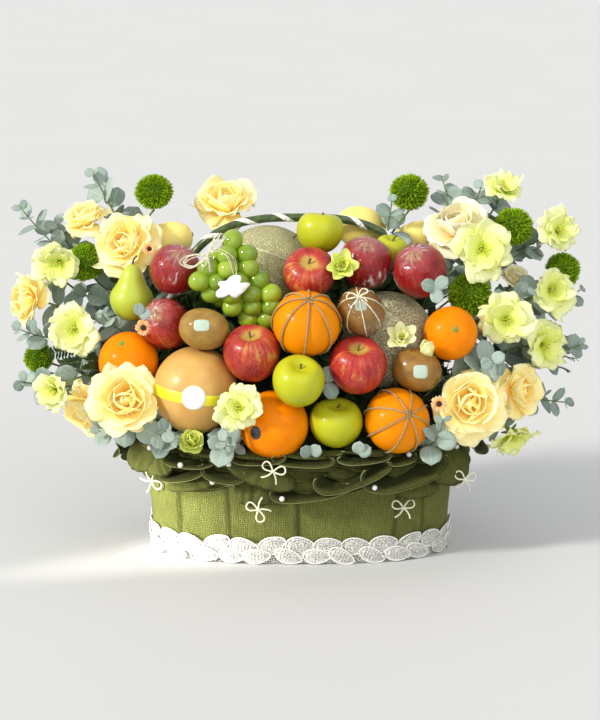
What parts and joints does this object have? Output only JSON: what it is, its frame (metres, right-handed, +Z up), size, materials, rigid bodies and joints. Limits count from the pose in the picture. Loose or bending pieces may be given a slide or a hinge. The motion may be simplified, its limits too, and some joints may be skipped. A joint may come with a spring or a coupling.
{
  "type": "fruit gift basket",
  "caption": "Oval gift basket in olive cloth with lace foot, ruffled collar and hoop handle, heaped with melons, apples, oranges, kiwis and grapes between roses, lisianthus and eucalyptus.",
  "frame": {"origin": "middle of the tub's flat underside, on the surface it stands on", "axes": "+X along the basket's length to the right as seen from the front, +Y to the back, +Z up; the front faces -Y"},
  "size_m": [0.8322, 0.3814, 0.5336],
  "materials": {
    "apple_red": "waxed red skin with fine streaks",
    "apple_green": "waxed yellow-green skin with pale dots",
    "melon_netted": "olive rind under a raised pale net",
    "melon_smooth": "smooth tan-orange rind",
    "pear": "yellow-green skin with a soft sheen",
    "orange": "finely pitted orange peel",
    "orange_tied": "orange peel drawn into segments by twine",
    "kiwi": "brown skin with short fuzz",
    "grape": "translucent green skin with a bloom",
    "mango": "yellow skin",
    "rose": "soft peach-yellow petals",
    "rose_cream": "soft cream petals",
    "lisianthus": "soft pale lime petals",
    "dianthus": "bristly grass-green pompon",
    "foliage": "grey-green leaves on thin stems",
    "olive_cloth": "olive woven cloth",
    "lace": "off-white corded lace",
    "ribbon": "dark green satin ribbon with white bands"
  },
  "bodies": {
    "root": {"apple_centre": "apple_red", "apple_green_back": "apple_green", "apple_green_low": "apple_green", "apple_green_mid": "apple_green", "apple_green_top": "apple_green", "apple_low_left": "apple_red", "apple_low_right": "apple_red", "apple_mid_left": "apple_red", "apple_top_right": "apple_red", "apple_wrapped_left": "apple_red", "apple_wrapped_right": "apple_red", "collar_ruffle": "olive_cloth", "dianthus_far_left": "dianthus", "dianthus_far_right": "dianthus", "dianthus_left": "dianthus", "dianthus_right": "dianthus", "dianthus_top_left": "dianthus", "dianthus_top_right": "dianthus", "dianthus_upper_right": "dianthus", "grapes_green": "grape", "greenery": "foliage", "handle_hoop": "ribbon", "kiwi_left": "kiwi", "kiwi_right": "kiwi", "kiwi_tied": "kiwi", "lace_band": "lace", "lisianthus_far_left": "lisianthus", "lisianthus_far_right": "lisianthus", "lisianthus_far_right_low": "lisianthus", "lisianthus_far_right_top": "lisianthus", "lisianthus_front": "lisianthus", "lisianthus_left": "lisianthus", "lisianthus_low_left": "lisianthus", "lisianthus_low_right": "lisianthus", "lisianthus_right": "lisianthus", "lisianthus_top_right": "lisianthus", "lisianthus_upper_right": "lisianthus", "mango_back": "mango", "mango_left": "mango", "mango_right": "mango", "melon_netted_back": "melon_netted", "melon_netted_right": "melon_netted", "melon_smooth_left": "melon_smooth", "orange_left": "orange", "orange_low": "orange", "orange_right": "orange", "orange_tied_centre": "orange_tied", "orange_tied_right": "orange_tied", "pear_left": "pear", "rose_back_left": "rose", "rose_bud_right": "rose", "rose_cream_right": "rose_cream", "rose_far_left": "rose", "rose_front_left": "rose", "rose_front_right": "rose", "rose_low_left": "rose", "rose_low_right": "rose", "rose_top_back": "rose", "rose_upper_left": "rose", "tub_cloth": "olive_cloth"}
  },
  "joints": []
}
